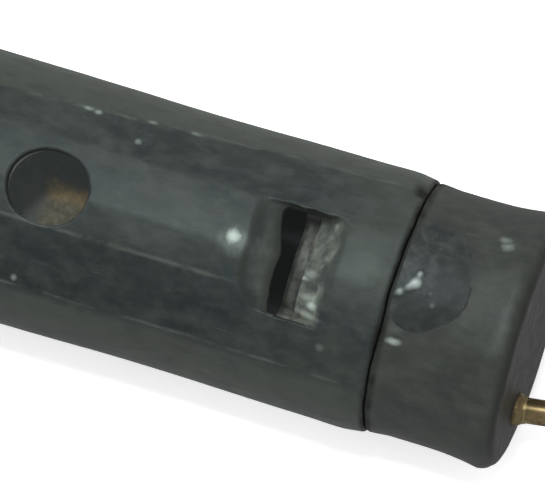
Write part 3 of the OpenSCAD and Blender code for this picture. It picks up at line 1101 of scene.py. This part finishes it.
def ebonite(name, slate, green, pale, gloss, marks, banded):
    """Old hard rubber: slate and green-grey patches, dusty specks, lengthwise scratches and greyed edges.

    The casing's kind is banded along its strips; its grazing upper side is painted paler and a band below
    its top painted darker, as painted light and shade. The cap's kind has a dark end face and a smear of
    pitch.
    Creases, recesses and the window's cut get painted shade, and the lip ramp turns paler, part rubbed tone
    and part painted light. The inside is painted pale, part dust and part painted bounced light, and glows
    very faintly, which stands for the light that bounces about in the bore.
    """
    s = Shader(name)
    past, angle = s.round_bore()
    clouds = s.noise(1.9, 6, 0.68, (1.6, 1, 1))
    patches = s.between(s.noise(9, 3, 0.55, (1.8, 1, 1)), 0.36, 0.66, 0.0, 0.6)
    if banded:
        tone, above = band_tone(s, past, angle)
        patches = s.most(patches * 0.6, tone)
    colour = s.mix(patches, slate, green)
    colour = s.tint(colour, BROWN_FILM, s.noise(4.5, 4, 0.6, (1.3, 1, 1)), 0.5, 0.7, 0.5)
    colour = s.tint(colour, pale, clouds, 0.38, 0.7, 0.55)
    if banded:
        # painted shade: a darker band below the top on the -Y side, stronger away from the joint
        shaded = s.between(angle, -5.0, -19.0) * s.between(past, -8.0, -24.0, 0.1, 0.5)
        colour = s.mix(shaded * s.math("SUBTRACT", 1.0, tone), colour, PAINTED_SHADE_SLATE)
        # painted light: the upper side turns paler green towards the grazing edge
        colour = s.tint(colour, PAINTED_SIDE_LIGHT, angle, 60.0, 80.0, 0.5)
    colour = s.tint(colour, STAIN, s.noise(2.3, 5, 0.7, (1.5, 1, 1), (0.2, 0.4, 0.1)), 0.47, 0.64, 0.5)
    colour = s.tint(colour, BLOOM, s.noise(2.0, 4, 0.62, (1.3, 1, 1), (0.5, 0.1, 0.3)), 0.42, 0.74, 0.34)
    specks = s.between(s.noise(0.16, 3, 0.6), 0.66, 0.8, 0.0, 0.5)
    colour = s.mix(specks * s.between(s.noise(3.0, 3, 0.6), 0.42, 0.62), colour, SPECK)
    scored = scratches(s)
    colour = s.mix(scored * 0.16, colour, SCRATCH)
    if banded:
        colour = s.mix(worn_lines(s, past, angle, above) * 0.3, colour, RUBBED_EDGE)
    wear = s.attribute("wear") * s.between(s.noise(0.7, 5, 0.7), 0.3, 0.6, 0.15, 1.0)
    colour = s.tint(colour, WORN, wear, 0.05, 0.6, 0.25)
    # painted shade in creases
    colour = s.tint(colour, CREASE_SHADE, s.attribute("crease"), 0.05, 0.5, 0.6)
    dirt = joint_dirt(s, past, angle)
    colour = s.mix(dirt, colour, JOINT_DIRT)
    # the lip ramp turns paler green: part rubbed tone, part painted light
    colour = s.mix(s.attribute("rubbed") * 0.5, colour, s.tint(LIP_DARK, LIP_PALE, clouds, 0.35, 0.65))
    cut = s.attribute("rough")
    cut_colour, cut_height = rough_rubber(s)
    colour = s.mix(cut, colour, cut_colour)
    colour = s.mix(scuffs_and_highlights(s, past, angle, marks), colour, CHIP_AND_HIGHLIGHT_PALE)
    # painted shade in recesses, along the lip and under the window's wall
    grime = s.attribute("grime") * 0.85
    colour = s.mix(grime, colour, PAINTED_SHADE_DARK)
    dull = s.most(dirt, grime)
    if not banded:
        end_face = s.between(past, cap_len - 1.1, cap_len - 0.2, 0.0, 0.85)
        colour = s.mix(end_face, colour, END_FACE)
        colour = s.mix(pitch_stain(s, past, angle), colour, SMEAR)
        dull = s.most(dull, end_face * 0.35)
    # the deep inside painted pale: dust, and painted bounced light
    dust_and_bounce = s.attribute("dust_and_bounce")
    colour = s.mix(dust_and_bounce, colour, DUST_AND_BOUNCE_PALE)
    roughness = s.between(clouds, 0.3, 0.7, gloss, gloss + 0.12) + wear * 0.25 + cut * 0.1
    return s.finish(colour, roughness, ebonite_relief(s, scored, cut, cut_height),
                    Specular_IOR_Level=s.between(dull, 0.0, 1.0, 0.34, 0.1), Specular_Tint=COOL_SHINE,
                    Emission_Color=BOUNCED, Emission_Strength=s.most(dust_and_bounce, grime * 0.6) * SLOT_GLOW)


def rough_block_material():
    """Rough-sawn hard rubber with pale chipped flecks and a trace of reddish dirt, darkened as painted
    shade: all over, more in creases, at the nose beside the slot and under the window's wall.
    """
    s = Shader("rough_ebonite")
    colour, height = rough_rubber(s)
    # painted shade in the block's creases, at its nose and under the wall
    crease_shade_mask = s.between(s.attribute("crease"), 0.02, 0.4, 0.0, 0.5)
    shade = s.most(crease_shade_mask, s.attribute("shade"), BLOCK_PAINTED_SHADE)
    colour = s.mix(shade, colour, (0.018, 0.018, 0.017))
    return s.finish(colour, 0.5, s.bump(height, 0.1, 0.8), Specular_IOR_Level=0.34)


def pitch_material():
    """Poured pitch: near black and dull, with small glossy drops whose tops are painted pale, part dried
    residue and part painted glints, and a rim darkened as painted shade on the side away from the light.
    """
    s = Shader("pitch")
    colour = s.tint((0.0165, 0.0185, 0.0185), (0.033, 0.037, 0.035), s.noise(1.1, 5, 0.65), 0.4, 0.68)
    # painted shade: the side of the pitch away from the light is darker
    colour = s.mix(s.attribute("rim") * 0.6, colour, (0.011, 0.0122, 0.0118))
    height = s.attribute("drops")
    # the drops' tops painted pale: part dried residue, part painted glints
    colour = s.tint(colour, (0.36, 0.42, 0.4), height, 0.2, 1.0, 0.6)
    glossy = s.between(height, 0.12, 0.8)
    return s.finish(colour, s.between(glossy, 0, 1, 0.48, 0.27), s.bump(s.noise(0.6, 3, 0.5), 0.03, 0.3),
                    Specular_IOR_Level=s.between(glossy, 0, 1, 0.3, 0.45), Specular_Tint=COOL_SHINE)


def tarnish(s):
    """Colour of old brass, how cloudy it is and where its dark spots are."""
    clouds = s.noise(1.4, 5, 0.65, (2, 1, 1))
    colour = s.tint((0.36, 0.28, 0.14), (0.16, 0.12, 0.065), clouds, 0.38, 0.66)
    spots = s.between(s.noise(0.45, 4, 0.6), 0.58, 0.72)
    return s.mix(spots * 0.7, colour, (0.1, 0.07, 0.04)), clouds, spots


def brass_material():
    """Dull, tarnished brass: brown and dark spots over yellow metal, drawn scratches and bright edges."""
    s = Shader("tarnished_brass")
    colour, clouds, spots = tarnish(s)
    colour = s.tint(colour, (0.5, 0.4, 0.2), s.attribute("wear"), 0.1, 0.6, 0.6)
    drawn = s.bump(s.noise(0.12, 3, 0.6, (14, 1, 1)), 0.01, 0.5)
    roughness = s.between(clouds, 0.35, 0.7, 0.3, 0.52) + spots * 0.2
    return s.finish(colour, roughness, drawn, Metallic=s.between(spots, 0, 1, 1.0, 0.55))


def bore_material():
    """The lining: old brass outside and blackened inside, with a painted pool of light in orange and brown
    on the far wall below each finger hole, and a faint glow inside as painted bounced light.
    """
    s = Shader("aged_bore")
    x, y, z = s.xyz()
    clouds = s.noise(2.2, 5, 0.65)
    black = s.tint((0.15, 0.165, 0.16), (0.2, 0.21, 0.2), clouds, 0.4, 0.62)
    grit = s.between(s.noise(0.9, 5, 0.7), 0.36, 0.64)
    brown = s.mix(grit, (0.35, 0.315, 0.22), (0.2, 0.185, 0.13))
    orange = s.mix(grit, (0.62, 0.45, 0.22), (0.42, 0.33, 0.19))
    # painted light: an orange and brown pool on the far wall, where light falls in through each finger hole
    side = y + (clouds - 0.5) * 3.0
    rubbed = s.tint(brown, orange, side, 0.9, 1.6)
    below = s.between(z, -4.0, -7.0) * s.between(side, 3.4, 2.2)
    spots = [s.between(abs(x - (joint_x - back + LIT_PATCH_SHIFT)) + clouds * 2.0, 5.0, 7.0, 1.0, 0.0)
             for back in hole_backs()]
    colour = s.mix(s.most(*spots) * below, black, rubbed)
    on_tenon = s.between(x, casing_low[0] + 0.2, casing_low[0])
    outside = on_tenon * s.between(s.hypot(y, z), liner_r - 0.3, liner_r - 0.1)
    colour = s.mix(outside, colour, tarnish(s)[0])

    def inside_and_out(inner, outer):
        return s.between(outside, 0.0, 1.0, inner, outer)

    # the inside glows faintly as painted bounced light
    normal = s.bump(s.noise(0.5, 5, 0.7), 0.08, inside_and_out(0.7, 0.1))
    return s.finish(colour, inside_and_out(0.6, 0.4), normal, Metallic=inside_and_out(0.2, 0.95),
                    Emission_Color=BOUNCED, Emission_Strength=inside_and_out(BORE_GLOW, 0.0))


def cork_material():
    s = Shader("cork")
    grain = s.between(s.cells(0.55), 0.1, 0.7)
    pits = s.between(s.noise(0.4, 4, 0.6, (0.5, 1, 1)), 0.6, 0.68)
    colour = s.mix(pits, s.mix(grain, (0.3, 0.18, 0.09), (0.19, 0.105, 0.05)), (0.06, 0.03, 0.015))
    return s.finish(colour, 0.78, s.bump(pits, -0.12, 0.8, s.bump(grain, 0.05, 0.5)))


def sponge_material():
    s = Shader("sponge")
    pores = s.between(s.cells(0.9), 0.12, 0.42)
    colour = s.mix(pores, (0.16, 0.1, 0.035), (0.62, 0.5, 0.24))
    colour = s.tint(colour, (0.42, 0.32, 0.15), s.noise(2.5), 0.4, 0.7, 0.5)
    return s.finish(colour, 0.92, s.bump(pores, 0.35, 1.0, s.bump(s.noise(0.25, 4, 0.7), 0.1, 0.6)))


# ---- the pieces

# pale chips, and painted highlights: the first two body marks are a soft glow on the small mound and the
# last cap mark is on the flare. (distance past the joint, angle, length, width, strength)
BODY_MARKS = ((-16.1, 3.1, 0.75, 0.75, 0.7), (-15.7, 1.6, 1.6, 1.3, 0.16), (-33.9, 44, 0.5, 0.3, 0.25),
              (-32.9, 43.4, 0.4, 0.35, 0.28), (-27.6, 47.7, 0.5, 0.3, 0.18), (-23.3, 49, 0.45, 0.3, 0.15),
              (-28.1, 34, 0.35, 0.35, 0.2), (-36, -44, 0.3, 0.35, 0.25), (-5.2, -33, 0.4, 0.4, 0.1),
              (-8.0, -2.6, 0.6, 0.5, 0.25), (-8.7, -5.4, 0.7, 0.25, 0.4), (-7.1, -16.6, 0.5, 0.45, 0.62),
              (-7.6, -13.6, 0.9, 0.4, 0.25), (-7.4, -21.5, 1.3, 0.35, 0.28))
CAP_MARKS = ((8.85, 40.4, 0.65, 0.5, 0.17), (9.3, 36.8, 0.6, 0.55, 0.2), (1.6, -21, 0.7, 0.34, 0.4),
             (1.5, -14.2, 0.9, 0.8, 0.06), (11.4, -2, 0.7, 2.2, 0.04))
# slate, green and pale tones
BODY_TONES = (0.0105, 0.0138, 0.015), (0.034, 0.039, 0.032), (0.038, 0.045, 0.043)
CAP_TONES = (0.0205, 0.0222, 0.0205), (0.03, 0.0308, 0.0255), (0.0445, 0.046, 0.04)

LOOKS = {
    "ebonite": ebonite("ebonite", *BODY_TONES, 0.4, BODY_MARKS, True),
    "cap_ebonite": ebonite("cap_ebonite", *CAP_TONES, 0.45, CAP_MARKS, False),
    "block_ebonite": rough_block_material(),
    "pitch": pitch_material(),
    "brass": brass_material(),
    "cork": cork_material(),
    "sponge": sponge_material(),
}

RING_W = 3.2
RING_SEAT_R = body_r - 0.6
FOOT_BORE_R = 11.0
FOOT_R = body_r - 0.02
SLEEVE_R = 11.84
SPONGE_GAP = 0.35


def roughen(amount, size, seed):
    """A relief of plain noise for a small piece."""
    return lambda points: amount * layered_noise(points, size, seed, 3)


def build_tube(name, body, look, node, r_in, round_by, step, rough, r_out=None):
    """A plain tube about the bore, as long as its CAD node, and as wide unless r_out is given."""
    low, high = corners(node)
    outline = soft_outline(low[0], high[0], r_out or high[1], r_in, round_by, step)
    along_bore(name, body, look, node, outline, roughen(*rough))


def build_liner():
    """The lining is the CAD solid itself, with a material of its own."""
    liner = frame["nodes"]["bore_liner"]
    liner.data.materials.clear()
    liner.data.materials.append(bore_material())


def build_sponge():
    low, high = corners("cap_sponge")
    outline = soft_outline(low[0], high[0], high[1] - SPONGE_GAP, 0, 0.9, 0.5)
    sponge = along_bore("sponge", "cap", "sponge", "cap_sponge", outline, roughen(0.22, 1.1, 211), 120)
    drill(sponge, pipe_base, pipe_axis, BUSH_R + SPONGE_GAP, -12, 2)


def foot_relief(points):
    x, y, z = points.T
    outside = smoothstep(12.2, 12.7, np.hypot(y, z))
    waves = 0.03 * layered_noise(points, 6, 221, 3, (2, 1, 1))
    return outside * (waves - facet_relief(x, np.arctan2(y, z)) - 0.02)


def build_foot():
    """The foot joint: stepped bore, and a seat at each end for its brass ring."""
    end = foot_high[0]
    sleeve_from = corners("foot_sleeve")[0][0]
    outline = [(FOOT_BORE_R, 0.05), (RING_SEAT_R, 0.05), (RING_SEAT_R, RING_W), (FOOT_R, RING_W),
               (FOOT_R, end - RING_W), (RING_SEAT_R, end - RING_W), (RING_SEAT_R, end), (SLEEVE_R, end),
               (SLEEVE_R, sleeve_from), (FOOT_BORE_R, sleeve_from)]
    outline = stepped(softened(outline, 0.12), 0.5)
    along_bore("foot", "foot", "ebonite", "foot_casing", outline, foot_relief, 160)


build_casing()
build_block()
build_cap()
build_pitch()
build_liner()
build_tube("cork_ring", "whistle", "cork", "cap_cork", bore_r + SLACK, 0.18, 0.5, (0.02, 0.9, 201))
build_sponge()
build_foot()
build_tube("sleeve", "foot", "brass", "foot_sleeve", liner_r + 0.06, 0.1, 1.0, (0.008, 2, 231))
for node, name in (("foot_ring", "end_ring"), ("socket_ring", "joint_ring")):
    build_tube(name, "foot", "brass", node, RING_SEAT_R + SLACK, 0.3, 0.5, (0.02, 2.5, 241), body_r)

# ---- blowpipe and mouth tip

BUSH_PROUD = 0.9
BUSH_INSIDE = 4.4
PIPE_WALL = 0.3
PIPE_OUT = pipe_length - PIPE_INSIDE
TIP_OVERLAP = 8.0
TIP_START = PIPE_OUT - TIP_OVERLAP
TIP_LEN = 19.0
TIP_CORK_R = PIPE_R + 0.5
TIP_NECK_R = 2.5
TIP_COLLAR_R = 2.9
TIP_BELLY_R = 3.3
TIP_END_R = 2.1
TIP_BORE_R = 0.95
TIP_RING_W = 2.2


def bush_outline():
    """Closed outline of the bush: a plain tube in the cap's wall and a hollow fillet outside it."""
    bore = PIPE_R + 0.03
    return [(bore, -BUSH_INSIDE), (bore, BUSH_PROUD), (PIPE_R + 0.07, BUSH_PROUD),
            (PIPE_R + 0.12, BUSH_PROUD * 0.6), (BUSH_R, BUSH_PROUD * 0.1), (BUSH_R, -BUSH_INSIDE)]


def tip_outline():
    """Closed outline of the mouth tip: ring seat, swelling belly, tapering beak and its stepped bore."""
    end = TIP_START + TIP_LEN
    socket = TIP_CORK_R + 0.04
    outline = [(socket, TIP_START), (TIP_NECK_R, TIP_START), (TIP_NECK_R, TIP_START + TIP_RING_W)]
    for u in np.linspace(0, 1, 12):
        swell = (TIP_BELLY_R - TIP_COLLAR_R) * math.sin(u * math.pi / 2)
        outline.append((TIP_COLLAR_R + swell, TIP_START + TIP_RING_W + (TIP_OVERLAP - TIP_RING_W) * u))
    for u in np.linspace(0, 0.98, 26)[1:]:
        taper = (TIP_BELLY_R - TIP_END_R) * math.cos(u * math.pi / 2) ** 2
        outline.append((TIP_END_R + taper, PIPE_OUT + (end - PIPE_OUT) * u))
    outline += [(TIP_END_R - 0.12, end - 0.03), (TIP_BORE_R + 0.25, end), (TIP_BORE_R, end - 0.25)]
    return outline + [(TIP_BORE_R, PIPE_OUT + 0.04), (socket, PIPE_OUT + 0.04)]


bush = stepped(softened(bush_outline(), 0.2), 0.3)
pipe = soft_outline(-PIPE_INSIDE, PIPE_OUT, PIPE_R, PIPE_R - PIPE_WALL, 0.1, 0.4)
tip_cork = soft_outline(PIPE_OUT - 6, PIPE_OUT - 1, TIP_CORK_R, PIPE_R + 0.015, 0.12, 0.3)
tip = stepped(tip_outline(), 0.4)
tip_ring = soft_outline(TIP_START, TIP_START + TIP_RING_W, TIP_COLLAR_R, TIP_NECK_R + SLACK, 0.15, 0.3)
along_pipe("bush", "cap", "brass", "pipe_bush", bush, roughen(0.01, 0.8, 251))
along_pipe("pipe", "pipe", "brass", "blowpipe", pipe, roughen(0.012, 2.2, 261))
along_pipe("tip_cork_ring", "pipe", "cork", "tip_cork", tip_cork, roughen(0.012, 0.7, 271))
along_pipe("tip", "tip", "ebonite", "mouth_tip", tip, roughen(0.02, 2, 281), 72)
along_pipe("tip_collar", "tip", "brass", "tip_ring", tip_ring, roughen(0.012, 1.2, 291))

# ---- floor, light and camera

FLOOR_HALF = 3.0
FLOOR_GLOW = 0.42
LIGHT_BACK = 14


def build_floor():
    """A pale, faintly lit sheet, as on a light table, so that the shadows beside the whistle stay pale."""
    bpy.ops.mesh.primitive_plane_add(size=2 * FLOOR_HALF, location=(joint_x * MM, 0, casing_low[2] * MM))
    floor = bpy.context.active_object
    floor.name = "floor"
    s = Shader("pale_floor")
    colour = s.tint((0.86, 0.865, 0.865), (0.9, 0.9, 0.9), s.noise(40, 3), 0.3, 0.7)
    sheet = s.finish(colour, 0.85, Emission_Color=(1, 1, 1, 1), Emission_Strength=FLOOR_GLOW)
    floor.data.materials.append(sheet)
    floor.visible_glossy = False


def add_lamp(name, kind, energy, mirrored, **settings):
    data = bpy.data.lights.new(name, kind)
    data.energy = energy
    for key, value in settings.items():
        setattr(data, key, value)
    lamp = bpy.data.objects.new(name, data)
    lamp.visible_glossy = mirrored
    bpy.context.scene.collection.objects.link(lamp)
    return lamp


def area_light(name, direction, distance, size_x, size_y, watts, mirrored=True):
    """A soft box that looks at the window's end of the whistle from a direction. Sizes in metres."""
    away = Vector(direction).normalized()
    lamp = add_lamp(name, "AREA", watts, mirrored, shape="RECTANGLE", size=size_x, size_y=size_y)
    lamp.location = Vector(((joint_x - LIGHT_BACK) * MM, 0, 0)) + away * distance
    lamp.rotation_mode = "QUATERNION"
    lamp.rotation_quaternion = away.to_track_quat("Z", "Y")


def build_fill(strength):
    """Soft light from above for the floor and the matt surfaces. It makes no reflections of its own."""
    lamp = add_lamp("fill", "SUN", strength, False, angle=math.radians(100))
    lamp.rotation_euler = (math.radians(-15), math.radians(-8), 0)


def build_world(strength, mirrored):
    """A white studio. Reflections see it at the mirrored strength, everything else at the full one."""
    world = bpy.data.worlds.new("studio")
    world.use_nodes = True
    tree = world.node_tree
    background = tree.nodes["Background"]
    background.inputs["Color"].default_value = (1.0, 1.0, 1.0, 1)
    path = tree.nodes.new("ShaderNodeLightPath")
    level = tree.nodes.new("ShaderNodeMapRange")
    level.inputs["To Min"].default_value = strength
    level.inputs["To Max"].default_value = mirrored
    tree.links.new(path.outputs["Is Glossy Ray"], level.inputs["Value"])
    tree.links.new(level.outputs[0], background.inputs["Strength"])
    bpy.context.scene.world = world


TILT_TO_CAP = math.radians(8.6)
TILT_TO_SIDE = math.radians(5.0)
AXIS_SLOPE = math.radians(16.62)
FRAME_WIDTH = 53.17
AIM_BACK = 14.1
AIM_UP = 2.07
LENS = 600.0
SENSOR = 36.0


def build_camera():
    """Looks almost straight down on the window, a little from the cap's end and from the -Y side."""
    away = Vector((math.sin(TILT_TO_CAP), -math.sin(TILT_TO_SIDE), math.cos(TILT_TO_CAP))).normalized()
    bore = Vector((1, 0, 0))
    bore = (bore - away * bore.dot(away)).normalized()
    across = away.cross(bore)
    right = bore * math.cos(AXIS_SLOPE) + across * math.sin(AXIS_SLOPE)
    up = across * math.cos(AXIS_SLOPE) - bore * math.sin(AXIS_SLOPE)
    target = (Vector((joint_x - AIM_BACK, 0, 0)) + across * AIM_UP) * MM
    distance = FRAME_WIDTH * MM * LENS / SENSOR
    data = bpy.data.cameras.new("camera")
    data.lens = LENS
    data.sensor_width = SENSOR
    data.clip_start = 0.01
    data.clip_end = 10
    camera = bpy.data.objects.new("camera", data)
    camera.matrix_world = Matrix((
        (right.x, up.x, away.x, 0), (right.y, up.y, away.y, 0), (right.z, up.z, away.z, 0), (0, 0, 0, 1)
    ))
    camera.location = target + away * distance
    bpy.context.scene.collection.objects.link(camera)
    bpy.context.scene.camera = camera


build_floor()
build_world(0.6, 0.4)
build_fill(1.5)
area_light("key", (-0.1, 0.36, 1.0), 0.5, 0.3, 0.14, 1.05)
area_light("beam", (0.02, 0.09, 1.0), 0.55, 0.03, 0.03, 0.8, mirrored=False)
build_camera()
bpy.context.scene.view_settings.view_transform = "Standard"
